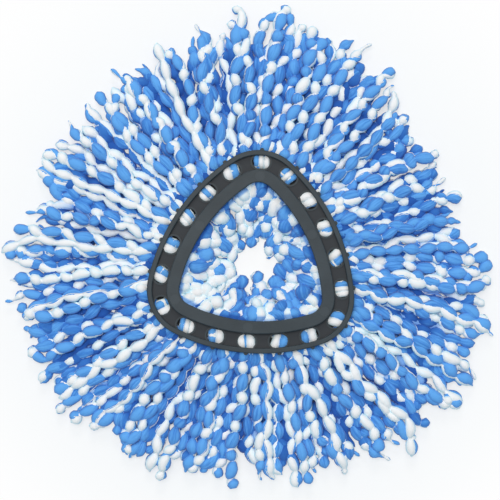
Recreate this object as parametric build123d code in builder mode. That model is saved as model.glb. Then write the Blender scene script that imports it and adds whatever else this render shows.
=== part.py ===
from build123d import *
from math import atan2, cos, degrees, pi, radians, sin
import os

os.makedirs("parts", exist_ok=True)

# Triangular mop head that clips under a spin mop's handle plate.
# The origin is the centre of the triangular opening, on the plane of the seat,
# which is the top of the ring's inner band. +Z is the spin axis, away from the
# floor, and one corner of the triangle points along +Y.
# Bearings run clockwise from +Y, seen from above.

# Hole line: the rounded triangle on which the yarn holes are spaced
side_radius = 124.0
side_reach = 52.8
corner_reach = 67.0
holes_per_side = 6
hole_count = 3 * holes_per_side

# Ring section, as distances outwards from the hole line
rim_outer = 7.7
rim_inner = 4.3
band_outer = -5.4
band_inner = -13.7
core_wall = 2.2
clamp_outer = 5.0
clamp_inner = -6.0

# Heights, from the seat at the top of the inner band
band_top = 0.0
rim_top = -1.5
channel_floor = -5.0
frame_underside = -7.0
core_top = -2.4
clamp_top = -11.0
clamp_underside = -14.0
floor_level = -25.0

# Small features of the frame
hole_length = 12.0
hole_width = 9.0
collar_width = 1.2
collar_height = 0.6
nub_radius = 1.5
nub_top = -3.0
post_radius = 2.0
post_hole_radius = 2.1
stake_radius = 3.2
stake_height = 1.2
ejector_radius = 3.3
ejector_depth = 0.2
edge_round = 0.6

# Yarn
pad_outer = 9.0
pad_inner = -7.5
pad_outer_width = 20.4
pad_inner_width = 12.4
pad_corner = 2.5
dome_gap = 0.3
dome_top = -4.2
dome_round = 0.75
bead_pitch = 11.4
bead_radius = 3.75
neck_radius = 2.5
root_radius = 1.1
tip_radius = 1.4
kink_bead = 7.0
kink_radius = 3.1
kink_neck = 2.2
upper_root = -8.6
lower_root = -9.6
root_step = 3.4
root_offset = 7.0
kink_run = 20.0
fan_reach = 153.0
fan_swing = 9.0
fan_spread = 8.0
strands_out = 6
inner_bead_radius = 2.9
inner_root = -9.1
inner_root_offset = -5.5
inner_root_step = 7.0
inner_reach = 18.0
inner_swing = 2.0
inner_high_end = -12.0

# The corner arcs run smoothly into the side arcs
side_setback = side_radius - side_reach
corner_radius = (side_radius**2 - side_setback**2 - corner_reach**2 - side_setback * corner_reach) / (
    2 * side_radius - 2 * corner_reach - side_setback
)
corner_setback = corner_reach - corner_radius
side_half_turn = degrees(
    atan2(corner_setback * sin(pi / 3), side_setback + corner_setback * cos(pi / 3))
)
corner_half_turn = 60 - side_half_turn
corner_half_length = corner_radius * radians(corner_half_turn)
third_length = 2 * corner_half_length + 2 * side_radius * radians(side_half_turn)
hole_pitch = third_length / holes_per_side
golden = (5**0.5 - 1) / 2


def toward(bearing, distance=1.0):
    # Point or direction at a bearing, clockwise from +Y
    return Vector(distance * sin(radians(bearing)), distance * cos(radians(bearing)))


def ring_place(step):
    # Point on the hole line and its outward bearing, counted in hole pitches from the +Y corner
    corner, part_step = divmod(step, holes_per_side)
    along = part_step * hole_pitch
    bearing = 120 * corner
    if along <= corner_half_length:
        out = bearing + degrees(along / corner_radius)
        return toward(bearing, corner_setback) + toward(out, corner_radius), out
    if along >= third_length - corner_half_length:
        out = bearing + 120 - degrees((third_length - along) / corner_radius)
        return toward(bearing + 120, corner_setback) + toward(out, corner_radius), out
    out = bearing + 60 + degrees((along - third_length / 2) / side_radius)
    return toward(bearing + 60, -side_setback) + toward(out, side_radius), out


def ring_plane(step, offset, height):
    # Plane on the ring: local Y points outwards, local X runs clockwise along the ring
    point, out = ring_place(step)
    place = point + toward(out, offset)
    return Plane(origin=(place.X, place.Y, height), x_dir=toward(out + 90), z_dir=(0, 0, 1))


def ring_outline(offset):
    # Closed line of three side arcs and three corner arcs, offset from the hole line
    for corner in range(3):
        side = 120 * corner + 60
        tip = 120 * corner
        CenterArc(
            toward(tip, corner_setback),
            corner_radius + offset,
            90 - tip - corner_half_turn,
            2 * corner_half_turn,
        )
        CenterArc(
            toward(side, -side_setback),
            side_radius + offset,
            90 - side - side_half_turn,
            2 * side_half_turn,
        )


def ring_band(outer, inner, bottom, top, mode=Mode.ADD):
    # Solid band of the ring between two offsets and two heights
    with BuildSketch(Plane.XY.offset(bottom)) as section:
        with BuildLine() as outer_line:
            ring_outline(outer)
        make_face(outer_line.edges())
        with BuildLine() as inner_line:
            ring_outline(inner)
        make_face(inner_line.edges(), mode=Mode.SUBTRACT)
    extrude(section.sketch, amount=top - bottom, mode=mode)


def hole_slots(length, width, bottom, top, mode):
    # One oval at every hole of the channel
    for hole in range(hole_count):
        with BuildSketch(ring_plane(hole, 0, bottom)) as oval:
            SlotOverall(length, width)
        extrude(oval.sketch, amount=top - bottom, mode=mode)


def ring_discs(steps, offset, radius, bottom, top, mode=Mode.ADD):
    # Round pegs, heads or recesses at chosen places along the ring
    for step in steps:
        with BuildSketch(ring_plane(step, offset, bottom)) as disc:
            Circle(radius)
        extrude(disc.sketch, amount=top - bottom, mode=mode)


def strand(start, end, profile):
    # Round body turned from a profile of (distance along, radius) points
    along = (end - start).normalized()
    across = along.cross(Vector(0, 0, 1))
    with BuildSketch(Plane(origin=start, x_dir=along, z_dir=across)) as half_section:
        with BuildLine():
            Polyline((0, 0), *profile, (profile[-1][0], 0), close=True)
        make_face()
    revolve(half_section.sketch, axis=Axis(start, along))


def bead_profile(length, start_radius, full_radius, swell):
    # Chain of barrel beads, with the first few beads squeezed by the factors in swell
    count = max(2, round(length / bead_pitch))
    pitch = length / count
    points = [(0, start_radius)]
    for bead in range(count):
        squeeze = swell[bead] if bead < len(swell) else 1.0
        radius = full_radius * squeeze
        points.append(((bead + 0.3) * pitch, radius))
        points.append(((bead + 0.7) * pitch, radius))
        if bead < count - 1:
            points.append(((bead + 1) * pitch, min(neck_radius, 0.8 * radius)))
    points.append((length, tip_radius))
    return points


def tip_reach(bearing, strand_number):
    # Distance of a strand's tip from the spin axis: longer at the corners, and uneven
    uneven = 2 * ((strand_number * golden) % 1) - 1
    return fan_reach + fan_swing * cos(radians(3 * bearing)) + fan_spread * uneven


def root_point(hole, offset, across, height):
    # Where a strand leaves its pad
    return ring_plane(hole, offset, height).from_local_coords(Vector(across, 0, 0))


def upper_strand(start, tip):
    # Straight strand from the pad down to its tip on the floor
    length = (tip - start).length
    strand(start, tip, bead_profile(length, root_radius, bead_radius, [0.55, 0.85]))


def lower_strand(start, tip):
    # Strand that drops from the pad to the floor, bends at a bead and lies flat
    level = Vector(start.X, start.Y, tip.Z)
    kink = level + (tip - level).normalized() * kink_run
    strand(start, kink, [(0, root_radius), ((kink - start).length, kink_neck)])
    bend = ((kink - start).normalized() + (tip - kink).normalized()).normalized() * (kink_bead / 2)
    barrel = [
        (0, kink_neck),
        (0.3 * kink_bead, kink_radius),
        (0.7 * kink_bead, kink_radius),
        (kink_bead, kink_neck),
    ]
    strand(kink - bend, kink + bend, barrel)
    strand(kink, tip, bead_profile((tip - kink).length, neck_radius, bead_radius, []))


post_steps = [hole + 0.5 for hole in range(hole_count)]
mark_steps = [hole for hole in range(0, hole_count, holes_per_side // 2)]
band_middle = (band_outer + band_inner) / 2

# Upper ring: flat inner band, channel with the yarn holes, low outer rim
with BuildPart() as frame:
    ring_band(rim_outer, band_inner, frame_underside, band_top)
    ring_band(rim_inner, band_outer, channel_floor, band_top, Mode.SUBTRACT)
    ring_band(rim_outer + 1, rim_inner - 1, rim_top, band_top, Mode.SUBTRACT)
    ring_band(band_outer - core_wall, band_inner + core_wall, frame_underside, core_top, Mode.SUBTRACT)
    top_edges = frame.edges().filter_by_position(Axis.Z, band_top - 0.01, band_top + 0.01)
    rim_edges = frame.edges().filter_by_position(Axis.Z, rim_top - 0.01, rim_top + 0.01)
    fillet(top_edges + rim_edges, edge_round)
    hole_slots(
        hole_length + 2 * collar_width,
        hole_width + 2 * collar_width,
        channel_floor,
        channel_floor + collar_height,
        Mode.ADD,
    )
    hole_slots(hole_length, hole_width, frame_underside, channel_floor + collar_height, Mode.SUBTRACT)
    ring_discs(range(hole_count), rim_outer, nub_radius, frame_underside, nub_top)
    ring_discs(mark_steps, band_middle, ejector_radius, band_top - ejector_depth, band_top, Mode.SUBTRACT)
    ring_discs(post_steps, 0, post_radius, clamp_underside, frame_underside)
    ring_discs(post_steps, 0, stake_radius, clamp_underside - stake_height, clamp_underside)

frame.part.label = "frame"
export_step(frame.part, "parts/frame.step")

# Lower ring, held by the frame's staked posts, presses the yarn up against the frame
with BuildPart() as clamp_ring:
    ring_band(clamp_outer, clamp_inner, clamp_underside, clamp_top)
    fillet(clamp_ring.edges().group_by(Axis.Z)[0], edge_round)
    ring_discs(post_steps, 0, post_hole_radius, clamp_underside, clamp_top, Mode.SUBTRACT)

clamp_ring.part.label = "clamp_ring"
export_step(clamp_ring.part, "parts/clamp_ring.step")

# Yarn bundles: a pressed pad across the ring, a bulge in the hole, long strands
# outwards in an upper and a lower layer, and two short strands inwards
for hole in range(hole_count):
    bundle_name = f"strand_bundle_{hole + 1:02d}"
    hole_bearing = hole * 360 / hole_count
    with BuildPart() as bundle:
        with BuildSketch(ring_plane(hole, 0, clamp_top)):
            with BuildLine():
                Polyline(
                    (-pad_inner_width / 2, pad_inner),
                    (pad_inner_width / 2, pad_inner),
                    (pad_outer_width / 2, pad_outer),
                    (-pad_outer_width / 2, pad_outer),
                    close=True,
                )
            pad_face = make_face()
            fillet(pad_face.vertices(), pad_corner)
        extrude(amount=frame_underside - clamp_top)
        with BuildSketch(ring_plane(hole, 0, frame_underside)):
            SlotOverall(hole_length - 2 * dome_gap, hole_width - 2 * dome_gap)
        extrude(amount=dome_top - frame_underside)
        fillet(bundle.edges().group_by(Axis.Z)[-1], dome_round)
        for place in range(strands_out):
            from_middle = place - (strands_out - 1) / 2
            bearing = hole_bearing + from_middle * 360 / (hole_count * strands_out)
            reach = tip_reach(bearing, hole * strands_out + place)
            tip = toward(bearing, reach) + Vector(0, 0, floor_level + bead_radius)
            if place % 2 == 0:
                upper_strand(root_point(hole, root_offset, from_middle * root_step, upper_root), tip)
            else:
                lower_strand(root_point(hole, root_offset, from_middle * root_step, lower_root), tip)
        for side in (-1, 1):
            start = root_point(hole, inner_root_offset, side * inner_root_step / 2, inner_root)
            bearing = hole_bearing + side * 90 / hole_count
            reach = inner_reach + inner_swing * cos(radians(3 * bearing))
            end_height = inner_high_end if side < 0 else floor_level + inner_bead_radius
            end = toward(bearing, reach) + Vector(0, 0, end_height)
            strand(start, end, bead_profile((end - start).length, root_radius, inner_bead_radius, [0.7]))
    bundle.part.label = bundle_name
    export_step(bundle.part, f"parts/{bundle_name}.step")
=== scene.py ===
import math
import random
import bpy
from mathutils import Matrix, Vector


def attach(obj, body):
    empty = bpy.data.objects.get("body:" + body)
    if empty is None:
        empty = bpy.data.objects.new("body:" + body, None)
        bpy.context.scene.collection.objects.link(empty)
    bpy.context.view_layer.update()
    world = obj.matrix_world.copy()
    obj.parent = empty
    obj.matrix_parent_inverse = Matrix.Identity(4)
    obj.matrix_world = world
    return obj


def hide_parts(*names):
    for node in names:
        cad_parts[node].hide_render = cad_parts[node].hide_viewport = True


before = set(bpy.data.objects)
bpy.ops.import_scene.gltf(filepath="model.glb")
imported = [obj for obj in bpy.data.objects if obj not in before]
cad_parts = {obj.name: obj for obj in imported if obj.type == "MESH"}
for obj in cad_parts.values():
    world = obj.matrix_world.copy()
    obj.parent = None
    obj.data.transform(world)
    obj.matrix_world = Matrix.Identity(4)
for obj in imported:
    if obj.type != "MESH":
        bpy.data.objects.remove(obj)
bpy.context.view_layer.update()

mm = 0.001
print("mop head: frame loaded,", len(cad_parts), "nodes")


# node helpers, used by the materials and by the yarn tree

class Wire:
    def __init__(self, tree, socket):
        self.tree = tree
        self.socket = socket

    def math(self, operation, *values):
        node = self.tree.nodes.new("ShaderNodeMath")
        node.operation = operation
        for slot, value in zip(node.inputs, values):
            plug(self.tree, slot, value)
        return Wire(self.tree, node.outputs[0])

    def __add__(self, other):
        return self.math("ADD", self, other)

    def __radd__(self, other):
        return self.math("ADD", other, self)

    def __sub__(self, other):
        return self.math("SUBTRACT", self, other)

    def __rsub__(self, other):
        return self.math("SUBTRACT", other, self)

    def __mul__(self, other):
        return self.math("MULTIPLY", self, other)

    def __rmul__(self, other):
        return self.math("MULTIPLY", other, self)

    def __truediv__(self, other):
        return self.math("DIVIDE", self, other)

    def __rtruediv__(self, other):
        return self.math("DIVIDE", other, self)

    def __pow__(self, other):
        return self.math("POWER", self, other)

    def __rpow__(self, other):
        return self.math("POWER", other, self)

    def sin(self):
        return self.math("SINE", self)

    def cos(self):
        return self.math("COSINE", self)

    def floor(self):
        return self.math("FLOOR", self)

    def fract(self):
        return self.math("FRACT", self)

    def below(self, other):
        return self.math("LESS_THAN", self, other)

    def most(self, other):
        return self.math("MAXIMUM", self, other)

    def unit(self):
        return self.math("MINIMUM", self.most(0.0), 1.0)

    def ease(self, low, high):
        x = ((self - low) / (high - low)).unit()
        return x * x * (3 - 2 * x)


def plug(tree, slot, value):
    if isinstance(value, Wire):
        tree.links.new(value.socket, slot)
    else:
        slot.default_value = value


def findSocket(sockets, name):
    if isinstance(name, int):
        return sockets[name]
    return next(s for s in sockets if s.name == name and not s.is_unavailable)


def addNode(tree, kind, settings=None, values=None, out=0):
    node = tree.nodes.new(kind)
    for name, value in (settings or {}).items():
        setattr(node, name, value)
    for name, value in (values or {}).items():
        plug(tree, findSocket(node.inputs, name), value)
    return Wire(tree, findSocket(node.outputs, out))


def newMaterial(name):
    material = bpy.data.materials.new(name)
    material.use_nodes = True
    tree = material.node_tree
    shader = tree.nodes["Principled BSDF"]
    return material, tree, shader


def mixColour(tree, factor, first, second):
    return addNode(tree, "ShaderNodeMix", {"data_type": "RGBA"},
                   {0: factor, 6: first, 7: second}, out=2)


def noise(tree, where, scale, detail, roughness=0.5):
    return addNode(tree, "ShaderNodeTexNoise", {},
                   {"Vector": where, "Scale": scale, "Detail": detail, "Roughness": roughness})


def stretched(tree, where, scale):
    return addNode(tree, "ShaderNodeVectorMath", {"operation": "MULTIPLY"}, {0: where, 1: scale})


def heightOf(tree, where):
    return addNode(tree, "ShaderNodeSeparateXYZ", {}, {0: where}, out="Z")


def distance(tree, where, centre=(0.0, 0.0, 0.0)):
    return addNode(tree, "ShaderNodeVectorMath", {"operation": "DISTANCE"},
                   {0: where, 1: centre}, out="Value")


def inMetres(sizes):
    return [size * mm for size in sizes]


# camera, straight above, turned so that the corner leans to the right, in mm and degrees

view = {
    "height": 1200.0,
    "turn": 4.6,
    "rightShift": -2.06,
    "upShift": 8.09,
    "lens": 130.3,
    "sensor": 36.0,
    "farthest": 20000.0,
}


def makeCamera():
    turn = math.radians(view["turn"])
    right = Vector((math.cos(turn), math.sin(turn), 0))
    up = Vector((-math.sin(turn), math.cos(turn), 0))
    place = right * view["rightShift"] + up * view["upShift"]
    place.z = view["height"]
    lensData = bpy.data.cameras.new("overheadCamera")
    lensData.lens = view["lens"]
    lensData.sensor_width = view["sensor"]
    lensData.clip_end = view["farthest"] * mm
    lensData.dof.use_dof = False
    camera = bpy.data.objects.new("overheadCamera", lensData)
    camera.location = place * mm
    camera.rotation_euler = (0, 0, turn)
    bpy.context.scene.collection.objects.link(camera)
    bpy.context.scene.camera = camera


# hole line, the same rounded triangle as in the solids, in mm

ring = {
    "sideRadius": 124.0,
    "sideReach": 52.8,
    "cornerReach": 67.0,
    "holesPerSide": 6,
    "bandInner": 13.7,  # from the hole line inwards to the opening
}
thirdTurn = 120
holeCount = 3 * ring["holesPerSide"]
holeTurn = 360 / holeCount
sideSetback = ring["sideRadius"] - ring["sideReach"]
cornerRadius = ((ring["sideRadius"] ** 2 - sideSetback ** 2 - ring["cornerReach"] ** 2
                 - sideSetback * ring["cornerReach"])
                / (2 * ring["sideRadius"] - 2 * ring["cornerReach"] - sideSetback))
cornerSetback = ring["cornerReach"] - cornerRadius
sideHalfTurn = math.atan2(cornerSetback * math.sin(math.pi / 3),
                          sideSetback + cornerSetback * math.cos(math.pi / 3))
cornerHalf = cornerRadius * (math.pi / 3 - sideHalfTurn)
thirdLength = 2 * cornerHalf + 2 * ring["sideRadius"] * sideHalfTurn
holePitch = thirdLength / ring["holesPerSide"]


def toward(bearing, reach):
    angle = math.radians(bearing)  # clockwise from +Y
    return Vector((reach * math.sin(angle), reach * math.cos(angle), 0.0))


def ringPlace(step):
    corner, partStep = divmod(step, ring["holesPerSide"])  # step counts holes from the +Y corner
    along = partStep * holePitch
    bearing = thirdTurn * corner
    if along <= cornerHalf:
        out = bearing + math.degrees(along / cornerRadius)
        return toward(bearing, cornerSetback) + toward(out, cornerRadius), out
    if along >= thirdLength - cornerHalf:
        bearing += thirdTurn
        out = bearing - math.degrees((thirdLength - along) / cornerRadius)
        return toward(bearing, cornerSetback) + toward(out, cornerRadius), out
    bearing += thirdTurn / 2
    out = bearing + math.degrees((along - thirdLength / 2) / ring["sideRadius"])
    return toward(bearing, -sideSetback) + toward(out, ring["sideRadius"]), out


# moulded plastic of the two rings

framePlastic = {
    "dark": (0.033, 0.046, 0.056, 1),
    "light": (0.051, 0.069, 0.083, 1),
    "channel": (0.039, 0.046, 0.055, 1),
    "mark": (0.058, 0.076, 0.091, 1),
    "roughness": 0.4,
    "grain": 0.12,
}
clampPlastic = {
    "dark": (0.031, 0.041, 0.050, 1),
    "light": (0.047, 0.062, 0.075, 1),
    "channel": (0.031, 0.041, 0.050, 1),
    "mark": (0.047, 0.062, 0.075, 1),
    "roughness": 0.42,
    "grain": 0.16,
}
moulding = {
    "flowScale": 38.0,
    "grainScale": 2600.0,
    "scuffScale": (210.0, 900.0, 400.0),
    "flowShare": 0.75,
    "scuffShare": 0.35,
    "cloudRange": (0.3, 0.85),
    "channelFloor": (-4.85, -4.45),  # heights in mm, below the collars
    "ejectorMark": (-0.3, -0.15, -0.05),
    "markShare": 0.6,
    "channelRoughness": 0.12,
    "scuffRoughness": 0.22,
    "grainRoughness": 0.1,
    "grainDepth": 0.12,
    "scuffDepth": 0.6,
    "specular": 0.12,
}


def mouldedPlastic(name, finish):
    material, tree, shader = newMaterial(name)
    where = addNode(tree, "ShaderNodeTexCoord", out="Object")
    flow = noise(tree, where, moulding["flowScale"], 3.0, 0.6)
    grain = noise(tree, where, moulding["grainScale"], 2.0, 0.6)
    scuff = noise(tree, stretched(tree, where, moulding["scuffScale"]), 1.0, 3.0, 0.7)
    cloud = moulding["flowShare"] * flow + moulding["scuffShare"] * scuff
    cloud = cloud.ease(*moulding["cloudRange"])
    height = heightOf(tree, where)
    sunken = 1 - height.ease(*inMetres(moulding["channelFloor"]))
    below, middle, above = inMetres(moulding["ejectorMark"])
    marked = height.ease(below, middle) * (1 - height.ease(middle, above))
    face = mixColour(tree, cloud, finish["dark"], finish["light"])
    face = mixColour(tree, moulding["markShare"] * marked, face, finish["mark"])
    # painted shade: below the collars the channel floor takes the channel colour, darker than the face on
    # the frame
    face = mixColour(tree, sunken, face, finish["channel"])
    plug(tree, shader.inputs["Base Color"], face)
    plug(tree, shader.inputs["Roughness"],
         finish["roughness"] + moulding["channelRoughness"] * sunken
         + moulding["scuffRoughness"] * (scuff - 0.5) + moulding["grainRoughness"] * (grain - 0.5))
    bump = addNode(tree, "ShaderNodeBump", {},
                   {"Strength": finish["grain"], "Distance": moulding["grainDepth"] * mm,
                    "Height": grain + moulding["scuffDepth"] * scuff})
    plug(tree, shader.inputs["Normal"], bump)
    shader.inputs["Specular IOR Level"].default_value = moulding["specular"]
    return material


# microfibre yarn of two plies, one blue and one white

yarnTone = {
    "blue": (0.122, 0.400, 0.880, 1),
    # the deeper blues and bluer whites below are painted shade; the streak colours also carry the fibre
    # pattern
    "streakAndShadeBlue": (0.046, 0.215, 0.650, 1),
    "deepShadeBlue": (0.018, 0.105, 0.430, 1),
    "white": (0.885, 0.905, 0.93, 1),
    "shadeWhite": (0.80, 0.94, 1.0, 1),
    "sideShadeWhite": (0.55, 0.88, 1.0, 1),
    "deepShadeWhite": (0.20, 0.41, 0.82, 1),
    # ranges over which the painted shade comes in: lit value, steepness of the normal, tone
    "blueLit": (0.15, 0.75),
    "blueSideShade": (0.05, 0.88),
    "blueSteepShade": (-0.1, 0.35),
    "whiteLit": (0.1, 0.6),
    "whiteSideShade": (0.05, 0.92),
    "shaded": (-0.6, 0.05),
    "fibreScale": (620.0, 620.0, 70.0),
    "clumpScale": (260.0, 260.0, 110.0),
    "fibreShare": 1.7,
    "clumpShare": 0.5,
    "toneShare": 0.45,
    "litShift": 0.8,
    "fibreDepth": 0.4,
    "fibreBump": 0.6,
    "clumpDepth": 0.4,
    "roughness": 0.82,
    "fibreRoughness": 0.2,
    "specular": 0.2,
    "sheen": 0.2,
    "sheenRoughness": 0.5,
}
yarnShade = {  # painted light and shade: how much tone each place gains or loses, and where, in mm
    "lowHeight": (-21.5, -14.5),
    "lowStart": (50.0, 60.0),
    "lowEnd": (115.0, 150.0),
    "lowLoss": 1.1,
    "tipRun": (60.0, 100.0),
    "tipGain": 0.8,
    "bandWidth": 5.0,
    "bandEnd": (2.0, 6.0),
    "bandLoss": 1.1,
    "underTurn": (0.1, 0.5),
    "underGain": 1.6,  # no strands shade the underside
}
threadTone = {
    "dark": (0.72, 0.76, 0.82, 1),
    "light": (0.86, 0.88, 0.9, 1),
    "layScale": (900.0, 900.0, 1500.0),
    "roughness": 0.6,
    "layRoughness": 0.3,
    "specular": 0.3,
}


def attribute(tree, name, out="Fac"):
    return addNode(tree, "ShaderNodeAttribute", {"attribute_name": name}, out=out)


def bandShadow(tree, where):
    flat = stretched(tree, where, (1.0, 1.0, 0.0))
    sides = []
    for corner in range(3):
        centre = toward(thirdTurn * (corner + 0.5), -sideSetback * mm)
        sides.append(distance(tree, flat, tuple(centre)))
    far = sides[0].most(sides[1]).most(sides[2])  # painted shadow, darker just inside the band's inner edge
    edge = (ring["sideRadius"] - ring["bandInner"]) * mm
    start, end = inMetres(yarnShade["bandEnd"])
    return far.ease(edge - yarnShade["bandWidth"] * mm, edge) * (1 - far.ease(edge + start, edge + end))


def yarnMaterial():
    material, tree, shader = newMaterial("microfibreYarn")
    where = addNode(tree, "ShaderNodeTexCoord", out="Object")
    fibre = attribute(tree, "fibre", "Vector")
    upward = attribute(tree, "upward")
    level = upward.most(0 - upward)
    reach = distance(tree, where)
    # painted light and shade: low strands 50 to 150 mm out and the yarn just inside the band are darker;
    # the tone rises towards the tips and on undersides
    low = ((1 - heightOf(tree, where).ease(*inMetres(yarnShade["lowHeight"])))
           * (1 - reach.ease(*inMetres(yarnShade["lowEnd"])))
           * reach.ease(*inMetres(yarnShade["lowStart"])))
    tone = (attribute(tree, "tone")
            + yarnShade["tipGain"] * attribute(tree, "along").ease(*inMetres(yarnShade["tipRun"]))
            - yarnShade["lowLoss"] * low
            - yarnShade["bandLoss"] * bandShadow(tree, where)
            + yarnShade["underGain"] * (0 - upward).ease(*yarnShade["underTurn"]))
    lines = noise(tree, stretched(tree, fibre, yarnTone["fibreScale"]), 1.0, 3.0, 0.65)
    clumps = noise(tree, stretched(tree, fibre, yarnTone["clumpScale"]), 1.0, 2.0, 0.5)
    lit = (yarnTone["fibreShare"] * lines + yarnTone["clumpShare"] * clumps
           + yarnTone["toneShare"] * tone - yarnTone["litShift"])  # about 0 to 1
    shaded = tone.ease(*yarnTone["shaded"])
    # painted shade: the blue darkens where the lit value is low, on steep sides and where the tone is
    # shaded
    blue = mixColour(tree, lit.ease(*yarnTone["blueLit"]), yarnTone["streakAndShadeBlue"], yarnTone["blue"])
    blue = mixColour(tree, level.ease(*yarnTone["blueSideShade"]), yarnTone["streakAndShadeBlue"], blue)
    blue = mixColour(tree, level.ease(*yarnTone["blueSteepShade"]), yarnTone["deepShadeBlue"], blue)
    blue = mixColour(tree, shaded, yarnTone["deepShadeBlue"], blue)
    # painted shade: the white turns pale blue on steep sides and deep blue where the tone is shaded
    white = mixColour(tree, lit.ease(*yarnTone["whiteLit"]), yarnTone["shadeWhite"], yarnTone["white"])
    white = mixColour(tree, level.ease(*yarnTone["whiteSideShade"]), yarnTone["sideShadeWhite"], white)
    white = mixColour(tree, shaded, yarnTone["deepShadeWhite"], white)
    plug(tree, shader.inputs["Base Color"], mixColour(tree, attribute(tree, "bluePly"), white, blue))
    plug(tree, shader.inputs["Roughness"],
         yarnTone["roughness"] + yarnTone["fibreRoughness"] * (lines - 0.5))
    bump = addNode(tree, "ShaderNodeBump", {},
                   {"Strength": yarnTone["fibreBump"], "Distance": yarnTone["fibreDepth"] * mm,
                    "Height": lines + yarnTone["clumpDepth"] * clumps})
    plug(tree, shader.inputs["Normal"], bump)
    shader.inputs["Specular IOR Level"].default_value = yarnTone["specular"]
    shader.inputs["Sheen Weight"].default_value = yarnTone["sheen"]
    shader.inputs["Sheen Roughness"].default_value = yarnTone["sheenRoughness"]
    return material


def threadMaterial():
    material, tree, shader = newMaterial("bindingThread")
    fibre = attribute(tree, "fibre", "Vector")
    lay = noise(tree, stretched(tree, fibre, threadTone["layScale"]), 1.0, 1.0, 0.5)
    plug(tree, shader.inputs["Base Color"], mixColour(tree, lay, threadTone["dark"], threadTone["light"]))
    plug(tree, shader.inputs["Roughness"],
         threadTone["roughness"] + threadTone["layRoughness"] * (lay - 0.5))
    shader.inputs["Specular IOR Level"].default_value = threadTone["specular"]
    return material


# yarn tree: each chain of edges becomes one strand of two beaded plies and a binding thread

yarnShape = {
    "spacing": 1.2,
    "sides": 10,
    "plump": 0.82,
    "bluePower": 1.35,  # more than 1 makes a bead lens-shaped
    "whitePower": 1.1,
    "apart": 1.05,
    "lumps": 0.9,
    "lumpScale": (520.0, 520.0, 160.0),
    "fibreAround": 4.0,
    "strandPart": 0.37,
    "plyPart": 0.11,
    "threadRadius": 0.24,
    "threadSides": 4,
    "threadOut": 0.97,
    "rootRun": (0.0, 10.0),
    "tailNeck": 0.36,
    "tailRun": (-1.5, 3.5),
    "tipNeck": 0.3,
    "tipRun": (-0.3, 2.0),
    "swayRun": (4.0, 16.0),
    "mostBeads": 64,
    "beadSize": (-1.0, 0.85),
    "beadTurn": (-0.45, 0.45),
    "give": 1.5,
    "seed": 7,
}
seedShift = {"beadSize": 0, "skip": 11, "beadTurn": 23}
yarnInputs = {
    "Spacing": "NodeSocketFloat",
    "Sides": "NodeSocketInt",
    "Plump": "NodeSocketFloat",
    "Apart": "NodeSocketFloat",
    "Lumps": "NodeSocketFloat",
    "Thread Radius": "NodeSocketFloat",
    "Thread Sides": "NodeSocketInt",
    "Floor": "NodeSocketFloat",
    "Give": "NodeSocketFloat",
    "Seed": "NodeSocketInt",
}


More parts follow.
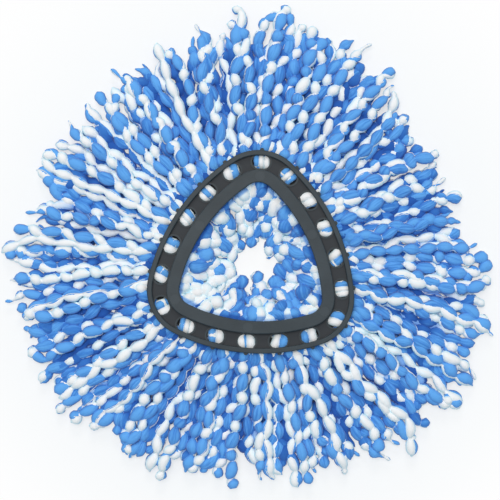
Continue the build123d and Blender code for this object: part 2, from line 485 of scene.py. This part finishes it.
def yarnTree(yarn, thread):
    tree = bpy.data.node_groups.new("beadedYarn", "GeometryNodeTree")
    tree.interface.new_socket("Geometry", in_out="OUTPUT", socket_type="NodeSocketGeometry")
    tree.interface.new_socket("Geometry", in_out="INPUT", socket_type="NodeSocketGeometry")
    for label, kind in yarnInputs.items():
        tree.interface.new_socket(label, in_out="INPUT", socket_type=kind)
    source = tree.nodes.new("NodeGroupInput")
    given = {s.name: Wire(tree, s) for s in source.outputs}

    def floatOf(name):
        return addNode(tree, "GeometryNodeInputNamedAttribute", {"data_type": "FLOAT"},
                       {"Name": name}, out="Attribute")

    def vectorOf(name):
        return addNode(tree, "GeometryNodeInputNamedAttribute", {"data_type": "FLOAT_VECTOR"},
                       {"Name": name}, out="Attribute")

    def store(geometry, name, value, dataType="FLOAT"):
        return addNode(tree, "GeometryNodeStoreNamedAttribute", {"data_type": dataType, "domain": "POINT"},
                       {"Geometry": geometry, "Name": name, "Value": value})

    def vector(x, y, z):
        return addNode(tree, "ShaderNodeCombineXYZ", {}, {0: x, 1: y, 2: z})

    def vectorMath(operation, *values):
        return addNode(tree, "ShaderNodeVectorMath", {"operation": operation}, dict(enumerate(values)))

    def scaled(value, factor):
        return addNode(tree, "ShaderNodeVectorMath", {"operation": "SCALE"}, {0: value, "Scale": factor})

    def chance(key, low, high, shift):
        return addNode(tree, "FunctionNodeRandomValue", {"data_type": "FLOAT"},
                       {"Min": low, "Max": high, "ID": key, "Seed": given["Seed"] + shift}, out="Value")

    def moved(geometry, offset):
        return addNode(tree, "GeometryNodeSetPosition", {}, {"Geometry": geometry, "Offset": offset})

    curve = addNode(tree, "GeometryNodeMeshToCurve", {}, {"Mesh": given["Geometry"]})
    curve = addNode(tree, "GeometryNodeCurveSplineType", {"spline_type": "CATMULL_ROM"}, {"Curve": curve})
    curve = addNode(tree, "GeometryNodeResampleCurve", {"mode": "LENGTH"},
                    {"Curve": curve, "Length": given["Spacing"]})
    curve = addNode(tree, "GeometryNodeSetCurveNormal", {"mode": "Z_UP"}, {"Curve": curve})

    # beads counted along the strand, and where in its bead a point is
    along = addNode(tree, "GeometryNodeSplineParameter", out="Length")
    left = addNode(tree, "GeometryNodeSplineLength", out="Length") - along
    steady = along / floatOf("beadLength") + floatOf("phase")
    beads = steady + floatOf("longer") / math.pi * (steady * math.pi).cos()  # blue beads run longer
    strandKey = (yarnShape["mostBeads"] * floatOf("strandNumber") + 0.5).floor()
    strandKey = strandKey + 0.25  # safe when cut to a whole number
    beadKey = beads.floor() + strandKey
    size = 1 + floatOf("uneven") * chance(beadKey, *yarnShape["beadSize"], seedShift["beadSize"])
    swell = (beads.fract() * math.pi).sin().most(0.0001) ** given["Plump"]

    # thinner at the root, along a loose tail and at the cut tip
    root = floatOf("rootSqueeze")
    tailNeck = yarnShape["tailNeck"]
    tipNeck = yarnShape["tipNeck"]
    ends = ((root + (1 - root) * along.ease(*inMetres(yarnShape["rootRun"])))
            * (tailNeck + (1 - tailNeck) * (left - floatOf("tail")).ease(*inMetres(yarnShape["tailRun"])))
            * (tipNeck + (1 - tipNeck) * left.ease(*inMetres(yarnShape["tipRun"]))))
    neck = floatOf("neck")
    pinched = neck * floatOf("pinch")  # white shows where the blue ply is pinched
    plump = floatOf("girth") * size
    radius = (neck + (plump - neck) * swell) * ends
    blueRadius = (pinched + (plump - pinched) * swell ** yarnShape["bluePower"]) * ends
    whiteRadius = (neck + (plump - neck) * swell ** yarnShape["whitePower"]) * ends

    # the blue ply faces up on some beads and down on others, and changes over at the necks
    middle = (beads - 0.5).floor()
    onward = (beads - 0.5).fract()

    def beadFacing(step):
        key = middle + step + strandKey
        skipped = chance(key, 0.0, 1.0, seedShift["skip"]).below(floatOf("skip"))
        halfTurns = (middle + step + skipped) * floatOf("turn")
        stray = chance(key, *yarnShape["beadTurn"], seedShift["beadTurn"])
        return math.pi * halfTurns + stray + floatOf("slant") * (onward - step)

    change = onward.ease(0.0, 1.0)
    facing = beadFacing(0) * (1 - change) + beadFacing(1) * change + floatOf("facing") - math.pi / 2

    tangent = addNode(tree, "GeometryNodeInputTangent")
    normal = addNode(tree, "GeometryNodeInputNormal")
    binormal = vectorMath("CROSS_PRODUCT", tangent, normal)
    sway = floatOf("sway") * (beads * math.pi).cos() * along.ease(*inMetres(yarnShape["swayRun"]))
    towardBlue = vectorMath("ADD", scaled(normal, facing.cos()), scaled(binormal, facing.sin()))
    towardMeet = vectorMath("ADD", scaled(normal, facing.sin()), scaled(binormal, facing.cos() * -1.0))
    plyShift = scaled(towardBlue, given["Apart"] * floatOf("loose") * swell * ends)
    meetShift = scaled(towardMeet, radius * yarnShape["threadOut"])

    curve = store(curve, "whiteRadius", whiteRadius * (1 - floatOf("blueShare")))
    curve = store(curve, "blueRadius", blueRadius * (1 + floatOf("blueShare")))
    curve = store(curve, "plyShift", plyShift, "FLOAT_VECTOR")
    curve = store(curve, "meetShift", meetShift, "FLOAT_VECTOR")
    curve = store(curve, "along", along)
    curve = moved(curve, scaled(normal, sway))

    joined = addNode(tree, "GeometryNodeJoinGeometry")

    def tube(shift, sides, size, scale, blue, isThread):
        section = addNode(tree, "GeometryNodeCurvePrimitiveCircle", {"mode": "RADIUS"},
                          {"Resolution": sides, "Radius": size})
        section = store(section, "around", addNode(tree, "GeometryNodeInputPosition"), "FLOAT_VECTOR")
        mesh = addNode(tree, "GeometryNodeCurveToMesh", {},
                       {"Curve": moved(curve, shift), "Profile Curve": section,
                        "Scale": scale, "Fill Caps": True})
        mesh = store(mesh, "bluePly", blue)
        mesh = store(mesh, "isThread", isThread)
        tree.links.new(mesh.socket, joined.socket.node.inputs[0])

    tube(vectorOf("meetShift"), given["Thread Sides"], given["Thread Radius"], 1.0, 0.0, 1.0)
    tube(scaled(vectorOf("plyShift"), -1.0), given["Sides"], 1.0, floatOf("whiteRadius"), 0.0, 0.0)
    tube(vectorOf("plyShift"), given["Sides"], 1.0, floatOf("blueRadius"), 1.0, 0.0)

    # each ply of each strand has its own stretch of the fibre pattern
    ownPart = floatOf("strandNumber") * yarnShape["strandPart"] + floatOf("bluePly") * yarnShape["plyPart"]
    fibre = vectorMath("ADD", scaled(vectorOf("around"), yarnShape["fibreAround"] * mm),
                       vector(ownPart, 0.0, floatOf("along")))
    mesh = store(joined, "fibre", fibre, "FLOAT_VECTOR")
    ridges = addNode(tree, "ShaderNodeTexNoise", {},
                     {"Vector": stretched(tree, vectorOf("fibre"), yarnShape["lumpScale"]), "Detail": 1.0})
    puff = (ridges - 0.5) * given["Lumps"] * floatOf("ragged") * (1 - floatOf("isThread"))
    mesh = moved(mesh, scaled(addNode(tree, "GeometryNodeInputNormal"), puff))

    # flattened where it lies on the floor
    above = heightOf(tree, addNode(tree, "GeometryNodeInputPosition")) - given["Floor"]
    rested = 0.5 * (above + (above * above + given["Give"] * given["Give"]) ** 0.5)
    mesh = moved(mesh, vector(0.0, 0.0, rested - above))
    # the normal's height, used by the yarn material for painted shade on steep sides and undersides
    mesh = store(mesh, "upward", heightOf(tree, addNode(tree, "GeometryNodeInputNormal")))
    mesh = addNode(tree, "GeometryNodeSetShadeSmooth", {}, {"Geometry": mesh})
    mesh = addNode(tree, "GeometryNodeRealizeInstances", {}, {"Geometry": mesh})
    mesh = addNode(tree, "GeometryNodeSetMaterial", {}, {"Geometry": mesh, "Material": yarn})
    mesh = addNode(tree, "GeometryNodeSetMaterial", {},
                   {"Geometry": mesh, "Selection": floatOf("isThread"), "Material": thread})
    sink = tree.nodes.new("NodeGroupOutput")
    tree.links.new(mesh.socket, sink.inputs[0])
    return tree


# the strands' lines, in mm

fan = {
    "floor": -25.0,
    "layers": (2, 0, 2, 0, 0, 1, 0, 2, 0, 1, 0, 0, 1, 0),  # 2 is on top
    "reach": 156.0,
    "outline": ((1, 0.0, -3.0), (2, -1.2, -2.6), (3, 9.0, 0.0), (4, 2.1, 2.0)),  # waves round, cosine, sine
    "uneven": ((-17, -1), (-10, 6), (-7, 8)),
    "stray": (0.8, 0.9, 1.1),
    "girth": (3.35, 4.0),
    "neck": (1.7, 2.2),
    "beadLength": (9.2, 11.2),
    "plainLength": 1.2,
    "tails": 0.25,
    "allWhite": 0.2,
    "allBlue": 0.16,
    "alternate": 0.88,
    "rootSqueeze": 0.6,
    "loose": 1.0,
    "pinch": 0.78,
    "blueShare": 0.08,
    "beadUneven": 0.12,
    "ragged": 1.0,
    "tone": ((-0.9, 0.15), (-0.05, 0.6), (0.4, 1.0)),
    "lowNeck": (2.1, 2.7),
    "lowBlue": 0.75,
    "lowStray": 0.5,
    "rootSpread": 0.6,
    "rootOut": 3.0,
    "edgeSpread": 0.96,
    "edgeOut": 9.5,
    "rootHeight": -9.0,
    "lift": (-20.6, -15.2, -9.8),
    "tipLift": (-20.8, -18.8, -16.4),
    "lowest": 5.2,  # above the floor
    "settleRun": (-4, 14),
    "steps": 16,
    "wave": (0.5, 2.3),
    "waves": (0.7, 1.5),
    "waveRun": (0.0, 0.25),
    "hookShare": 0.3,
    "hook": (4, 13),
    "drift": (-3, 3),
    "hookRun": (0.72, 1.15),
    "hookPower": 1.2,
    "flick": (-9, 9),
    "flickRun": (0.9, 1.05),
    "bob": 0.7,
    "bobs": 5,
    "tipDrop": 0.85,
    "tipRun": (0.8, 1.05),
    "seed": 20,
}
innerEnds = {
    "girth": (3.9, 4.8),
    "neck": (2.7, 3.5),
    "beadLength": (9.2, 11.6),
    "plainLength": 0.95,
    "tails": 0.2,
    "allWhite": 0.32,
    "allBlue": 0.12,
    "rootSqueeze": 0.42,
    "loose": 1.6,
    "pinch": 0.75,
    "blueShare": 0.06,
    "beadUneven": 0.24,
    "ragged": 2.2,
    "reach": ((10.2, 15.6), (14.4, 22.4), (19.0, 28.0), (26.0, 34.0), (28.0, 37.0)),
    "endHeight": ((-20.4, -20.4), (-20.4, -18.0), (-18.0, -14.0), (-15.0, -11.0), (-20.4, -14.0)),
    "lobe": 3.5,  # the gap in the middle is three-cornered
    "spread": 4,
    "stray": (-12, 12),
    "rootSpread": 0.6,
    "rootIn": 3.0,
    "edgeSpread": 0.95,
    "edgeIn": 9.0,
    "rootHeight": -9.0,
    "edgeHeight": -9.5,
    "dropRun": (0.0, 0.7),
    "lowest": 5.6,
    "steps": 8,
    "bend": (-6, 6),
    "curl": (-8, 8),
    "hump": (0, 2.5),
    "seed": 31,
}
holeYarn = {
    "girth": (2.05, 2.2),
    "neck": (2.0, 2.05),
    "beadLength": (10.6, 12.8),
    "plainLength": 1.0,
    "tails": 0.0,
    "allWhite": 0.0,
    "allBlue": 0.0,
    "rootSqueeze": 0.9,
    "loose": 0.7,
    "pinch": 0.95,
    "blueShare": -0.02,
    "beadUneven": 0.1,
    "ragged": 1.0,
    "upSides": ("wb", "bwb", "bw", "ws", "wbw", "sw", "wwb", "wb", "bww"),  # s is a seam
    "mostStrands": 3,
    "pitch": 3.3,
    "shift": (-0.3, 0.3),
    "tilt": (-24, 24),
    "stray": (-0.35, 0.35),
    # painted light: the yarn in the holes gets a high, even tone
    "tone": 0.9,
    "crown": -5.4,
    "crownDrop": 1.8,
    "outerDrop": 0.5,
    "halfSpan": 3.9,
    "sag": 3.2,
    "sagPower": 2.4,
    "mostSag": 3.6,
    "reach": 6,
    "seed": 42,
}
twist = {  # shared by all strands
    "tailLength": (3, 11),
    "lastBead": (0.5, 0.95),
    "skips": (0.0, 0.1, 0.3),
    "stray": 0.45,
    "slant": (0.3, 0.9),
    "sway": (0.4, 1.4),
    "longer": 0.4,
    "plainSlant": 0.3,
    "plainNeck": 0.85,
    "whiteStray": 0.3,
    "blueStray": 0.35,
    "blueSides": (0.0, 0.0, -0.5, 0.5),
}
numbering = {"bundle": 40, "innerEnds": 20, "holeYarn": 30}
seedStep = 1000


def fanReach(bearing):
    angle = math.radians(bearing)
    reach = fan["reach"]
    for waves, cosine, sine in fan["outline"]:
        reach += cosine * math.cos(waves * angle) + sine * math.sin(waves * angle)
    return reach


def ease(x, low, high):
    x = min(max((x - low) / (high - low), 0.0), 1.0)
    return x * x * (3 - 2 * x)


class StrandSet:
    # collects polylines and their per-strand values for one bundle
    def __init__(self):
        self.points = []
        self.edges = []
        self.values = {}

    def add(self, line, number, **values):
        first = len(self.points)
        self.points += [p * mm for p in line]
        self.edges += [(first + i, first + i + 1) for i in range(len(line) - 1)]
        values["strandNumber"] = number
        for name, value in values.items():
            self.values.setdefault(name, []).extend([value] * len(line))


def lineLength(line):
    return sum((q - p).length for p, q in zip(line, line[1:]))


def yarnValues(rng, style, line, blueFirst=None):
    beadLength = rng.uniform(*style["beadLength"])
    tail = rng.uniform(*twist["tailLength"]) if rng.random() < style["tails"] else 0.0
    beadCount = (lineLength(line) - tail) / beadLength
    phase = rng.uniform(*twist["lastBead"]) - beadCount % 1.0 + 1.0  # cut within a bead
    if blueFirst is None:
        blueFirst = rng.random() < 0.5
    halfWay = round(beadCount / 2 + phase - 0.5)
    values = {
        "girth": rng.uniform(*style["girth"]) * mm,
        "neck": rng.uniform(*style["neck"]) * mm,
        "beadLength": beadLength * mm,
        "tail": tail * mm,
        "phase": phase,
        "turn": 1.0,
        "skip": rng.choice(twist["skips"]),
        "facing": math.pi * (halfWay + (0 if blueFirst else 1)) + rng.gauss(0, twist["stray"]),
        "slant": rng.uniform(*twist["slant"]),
        "sway": rng.uniform(*twist["sway"]) * mm,
        "rootSqueeze": style["rootSqueeze"],
        "loose": style["loose"],
        "pinch": style["pinch"],
        "blueShare": style["blueShare"],
        "uneven": style["beadUneven"],
        "ragged": style["ragged"],
        "tone": rng.random(),
    }
    values["longer"] = math.copysign(twist["longer"], math.cos(values["facing"]))
    side = rng.random()
    if side < style["allWhite"] + style["allBlue"]:  # some strands don't turn
        values.update(turn=0.0, longer=0.0)
        values["slant"] *= twist["plainSlant"]
        values["neck"] *= twist["plainNeck"]
        values["beadLength"] *= style["plainLength"]
        if "alternate" in style and rng.random() < style["alternate"]:
            side = 1.0 if blueFirst else 0.0
        if side < style["allWhite"]:
            values["facing"] = math.pi + rng.gauss(0, twist["whiteStray"])
        else:
            values["facing"] = rng.choice(twist["blueSides"]) * math.pi + rng.gauss(0, twist["blueStray"])
    return values


def outerLine(hole, place, rng):
    layer = fan["layers"][place]
    count = len(fan["layers"])
    fromMiddle = place - (count - 1) / 2
    stray = fan["stray"][layer]
    bearing = holeTurn * hole + fromMiddle * holeTurn / count + rng.uniform(-stray, stray)
    reach = fanReach(bearing) + rng.uniform(*fan["uneven"][layer])
    point, out = ringPlace(hole + fan["rootSpread"] * fromMiddle / count)
    start = point + toward(out, fan["rootOut"])
    point, out = ringPlace(hole + fan["edgeSpread"] * fromMiddle / count)
    edge = point + toward(out, fan["edgeOut"])
    run = toward(bearing, reach) - edge
    length = run.length
    forward = run.normalized()
    sideways = Vector((forward.y, -forward.x, 0))
    wave = rng.uniform(*fan["wave"])
    waves = rng.uniform(*fan["waves"])
    waveStart = rng.uniform(0, 2 * math.pi)
    if rng.random() < fan["hookShare"]:
        hook = rng.uniform(*fan["hook"]) * rng.choice((-1, 1))
    else:
        hook = rng.uniform(*fan["drift"])
    flick = rng.uniform(*fan["flick"])
    bobStart = rng.uniform(0, 2 * math.pi)
    rootHeight = fan["rootHeight"]
    lift = fan["lift"][layer]
    tipLift = fan["tipLift"][layer]
    low = fan["floor"] + fan["lowest"]
    line = [start + Vector((0, 0, rootHeight))]
    for i in range(fan["steps"] + 1):
        t = i / fan["steps"]
        fade = ease(t, *fan["waveRun"])
        slide = fade * wave * math.sin(2 * math.pi * waves * t + waveStart)
        slide += hook * ease(t, *fan["hookRun"]) ** fan["hookPower"]
        slide += flick * ease(t, *fan["flickRun"])
        spot = edge + run * t + sideways * slide
        rise = lift + (tipLift - lift) * ease(t, 0.0, 1.0)
        height = rootHeight + (rise - rootHeight) * ease(t * length, *fan["settleRun"])
        height += fade * fan["bob"] * math.sin(fan["bobs"] * t + bobStart)
        height += (low - height) * fan["tipDrop"] * ease(t, *fan["tipRun"])
        line.append(Vector((spot.x, spot.y, max(height, low))))
    return line


def innerLine(hole, place, rng):
    count = len(innerEnds["reach"])
    fromMiddle = (place * 2 % count) - (count - 1) / 2
    point, out = ringPlace(hole + innerEnds["rootSpread"] * fromMiddle / count)
    start = point - toward(out, innerEnds["rootIn"])
    point, out = ringPlace(hole + innerEnds["edgeSpread"] * fromMiddle / count)
    edge = point - toward(out, innerEnds["edgeIn"])
    bearing = holeTurn * hole + fromMiddle * innerEnds["spread"] + rng.uniform(*innerEnds["stray"])
    lobe = innerEnds["lobe"] * math.cos(math.radians(3 * bearing))
    run = toward(bearing, rng.uniform(*innerEnds["reach"][place]) + lobe) - edge
    sideways = Vector((run.y, -run.x, 0)).normalized()
    endHeight = rng.uniform(*innerEnds["endHeight"][place])
    bend = rng.uniform(*innerEnds["bend"])
    curl = rng.uniform(*innerEnds["curl"])
    hump = rng.uniform(*innerEnds["hump"])
    edgeHeight = innerEnds["edgeHeight"]
    low = fan["floor"] + innerEnds["lowest"]
    line = [start + Vector((0, 0, innerEnds["rootHeight"]))]
    for i in range(innerEnds["steps"] + 1):
        t = i / innerEnds["steps"]
        arch = math.sin(math.pi * t)
        spot = edge + run * t + sideways * (bend * arch + curl * t ** 3)
        height = edgeHeight + (endHeight - edgeHeight) * ease(t, *innerEnds["dropRun"]) + hump * arch
        line.append(Vector((spot.x, spot.y, max(height, low))))
    return line


def holeLine(hole, fromMiddle, tilt, wider):
    point, out = ringPlace(hole)
    aside = toward(out + 90, fromMiddle * holeYarn["pitch"] * wider)
    crown = holeYarn["crown"] - holeYarn["crownDrop"] * (wider - 1)
    line = []
    for i in range(-holeYarn["reach"], holeYarn["reach"] + 1):  # one point for each mm
        sag = holeYarn["sag"] * (abs(i) / holeYarn["halfSpan"]) ** holeYarn["sagPower"]
        sag = min(sag, holeYarn["mostSag"])
        spot = point + toward(out + tilt, i) + aside
        line.append(Vector((spot.x, spot.y, crown - sag - holeYarn["outerDrop"] * abs(fromMiddle))))
    return line


# one bundle for every hole

def addLongEnds(strands, hole):
    rng = random.Random(fan["seed"] * seedStep + hole)
    upper = 0
    for place, layer in enumerate(fan["layers"]):
        line = outerLine(hole, place, rng)
        odd = upper % 2 == 1  # neighbours on top mostly show opposite sides
        if rng.random() > fan["alternate"]:
            odd = not odd
        values = yarnValues(rng, fan, line, odd)
        # painted shade: the lower a layer lies, the darker its tone
        values["tone"] = rng.uniform(*fan["tone"][layer])
        if layer > 0:
            upper += 1
        else:  # underneath, with wider necks and mostly blue side up
            values["neck"] = rng.uniform(*fan["lowNeck"]) * mm
            if rng.random() < fan["lowBlue"]:
                values.update(turn=0.0, facing=rng.gauss(0, fan["lowStray"]), longer=0.0)
        strands.add(line, hole * numbering["bundle"] + place, **values)


def addInnerEnds(strands, hole):
    rng = random.Random(innerEnds["seed"] * seedStep + hole)
    first = hole * numbering["bundle"] + numbering["innerEnds"]
    for place in range(len(innerEnds["reach"])):
        line = innerLine(hole, place, rng)
        strands.add(line, first + place, **yarnValues(rng, innerEnds, line))


def addHoleYarn(strands, hole):
    rng = random.Random(holeYarn["seed"] * seedStep + hole)
    first = hole * numbering["bundle"] + numbering["holeYarn"]
    tilt = rng.uniform(*holeYarn["tilt"])
    sides = rng.choice(holeYarn["upSides"])
    wider = holeYarn["mostStrands"] / len(sides)
    shift = rng.uniform(*holeYarn["shift"])
    for place, side in enumerate(sides):
        fromMiddle = place - (len(sides) - 1) / 2 + shift
        line = holeLine(hole, fromMiddle, tilt, wider)
        values = yarnValues(rng, holeYarn, line)
        values["girth"] *= wider
        values["neck"] *= wider
        seam = rng.choice((-0.5, 0.5)) * math.pi
        facing = {"b": 0.0, "w": math.pi, "s": seam}[side] + rng.uniform(*holeYarn["stray"])
        values.update(turn=0.0, facing=facing, longer=0.0, sway=0.0, tone=holeYarn["tone"])
        strands.add(line, first + place, **values)


def makeBundle(name, strands, tree, seed):
    mesh = bpy.data.meshes.new(name + "Lines")
    mesh.from_pydata(strands.points, strands.edges, [])
    for key, data in strands.values.items():
        mesh.attributes.new(key, "FLOAT", "POINT").data.foreach_set("value", data)
    lines = bpy.data.objects.new(name + "Lines", mesh)
    bpy.context.scene.collection.objects.link(lines)
    modifier = lines.modifiers.new("beadedYarn", "NODES")
    modifier.node_group = tree
    chosen = {
        "Spacing": yarnShape["spacing"] * mm,
        "Sides": yarnShape["sides"],
        "Plump": yarnShape["plump"],
        "Apart": yarnShape["apart"] * mm,
        "Lumps": yarnShape["lumps"] * mm,
        "Thread Radius": yarnShape["threadRadius"] * mm,
        "Thread Sides": yarnShape["threadSides"],
        "Floor": fan["floor"] * mm,
        "Give": yarnShape["give"] * mm,
        "Seed": seed,
    }
    for item in tree.interface.items_tree:
        if item.in_out == "INPUT" and item.name in chosen:
            modifier[item.identifier] = chosen[item.name]
    graph = bpy.context.evaluated_depsgraph_get()
    solid = bpy.data.meshes.new_from_object(lines.evaluated_get(graph), depsgraph=graph)
    lines.modifiers.remove(modifier)
    bpy.data.objects.remove(lines)
    solid.name = name
    piece = bpy.data.objects.new(name, solid)
    bpy.context.scene.collection.objects.link(piece)
    return piece


def makeBundles(tree):
    pieces = {}
    for hole in range(holeCount):
        strands = StrandSet()
        addLongEnds(strands, hole)
        addInnerEnds(strands, hole)
        addHoleYarn(strands, hole)
        pieces[hole] = makeBundle(f"yarnBundle{hole + 1:02d}", strands, tree, yarnShape["seed"] + hole)
    return pieces


# floor and light, in metres

studio = {
    "floorSize": 6.0,
    "floorGap": 0.0002,
    "floorDark": (0.84, 0.895, 0.94, 1),
    "floorLight": (0.86, 0.915, 0.96, 1),
    "speckScale": 60.0,
    "roughness": 0.9,
    "specular": 0.1,
    "floorLift": (0.6, 0.98),  # painted light, how strongly the floor glows white to the camera, near the mop head and far from it
    "farRun": (0.14, 0.25),
    "middleRun": (0.028, 0.04),
    "middleLift": 0.6,
    "worldLight": 0.45,
    "fill": (0.64, 0.86, 1.0, 1),
}
plainWhite = (1, 1, 1, 1)
lamps = {
    "keyLamp": {"power": 20.6, "tint": (1.0, 0.87, 0.77), "place": (-0.2, 2.4, 2.0), "size": 0.9},
    "topLamp": {"power": 54.6, "tint": (1.0, 0.87, 0.77), "place": (-0.3, 0.5, 2.9), "size": 1.4},
}


def rayKind(tree, name):
    return addNode(tree, "ShaderNodeLightPath", out=name)


def makeFloor():
    half = studio["floorSize"] / 2
    level = fan["floor"] * mm - studio["floorGap"]
    corners = [(-half, -half, level), (half, -half, level), (half, half, level), (-half, half, level)]
    mesh = bpy.data.meshes.new("floor")
    mesh.from_pydata(corners, [], [(0, 1, 2, 3)])
    floor = bpy.data.objects.new("floor", mesh)
    bpy.context.scene.collection.objects.link(floor)
    material, tree, shader = newMaterial("paleFloor")
    where = addNode(tree, "ShaderNodeTexCoord", out="Object")
    speck = noise(tree, where, studio["speckScale"], 3.0)
    plug(tree, shader.inputs["Base Color"],
         mixColour(tree, speck, studio["floorDark"], studio["floorLight"]))
    shader.inputs["Roughness"].default_value = studio["roughness"]
    shader.inputs["Specular IOR Level"].default_value = studio["specular"]
    reach = distance(tree, where)
    # painted light and shadow: the floor glows less near the mop head, leaving a painted shadow pool, and
    # more in the gap in the middle
    clear = reach.ease(*studio["farRun"]) + studio["middleLift"] * (1 - reach.ease(*studio["middleRun"]))
    near, far = studio["floorLift"]
    seen = (rayKind(tree, "Is Camera Ray") + rayKind(tree, "Is Glossy Ray")
            + rayKind(tree, "Is Transmission Ray")).unit()
    glow = addNode(tree, "ShaderNodeEmission", {}, {"Color": plainWhite, "Strength": 1.0})
    both = addNode(tree, "ShaderNodeMixShader", {},
                   {0: (near + (far - near) * clear) * seen, 1: Wire(tree, shader.outputs[0]), 2: glow})
    tree.links.new(both.socket, tree.nodes["Material Output"].inputs["Surface"])
    mesh.materials.append(material)


def makeLights():
    world = bpy.data.worlds.new("studio")
    bpy.context.scene.world = world
    world.use_nodes = True
    tree = world.node_tree
    back = tree.nodes["Background"]
    seen = rayKind(tree, "Is Camera Ray")
    plug(tree, back.inputs["Color"], mixColour(tree, seen, studio["fill"], plainWhite))
    plug(tree, back.inputs["Strength"], studio["worldLight"] + (1.0 - studio["worldLight"]) * seen)
    for name, given in lamps.items():
        lamp = bpy.data.lights.new(name, "AREA")
        lamp.energy = given["power"]
        lamp.size = given["size"]
        lamp.color = given["tint"]
        holder = bpy.data.objects.new(name, lamp)
        holder.location = given["place"]
        holder.rotation_euler = (-Vector(given["place"])).to_track_quat("-Z", "Y").to_euler()
        bpy.context.scene.collection.objects.link(holder)


bpy.context.scene.view_settings.view_transform = "Standard"
makeCamera()
print("camera set")

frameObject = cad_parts["frame"]
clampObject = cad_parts["clamp_ring"]
for node, material in ((frameObject, mouldedPlastic("framePlastic", framePlastic)),
                       (clampObject, mouldedPlastic("clampPlastic", clampPlastic))):
    node.data.materials.clear()
    node.data.materials.append(material)
print("plastic rings finished")

bundles = makeBundles(yarnTree(yarnMaterial(), threadMaterial()))
triangles = 0
for hole, piece in bundles.items():
    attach(piece, "root")
    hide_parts(f"strand_bundle_{hole + 1:02d}")
    triangles += sum(len(p.vertices) - 2 for p in piece.data.polygons)
print("yarn bundles made,", triangles, "triangles")

makeFloor()
makeLights()
print("floor and light set")
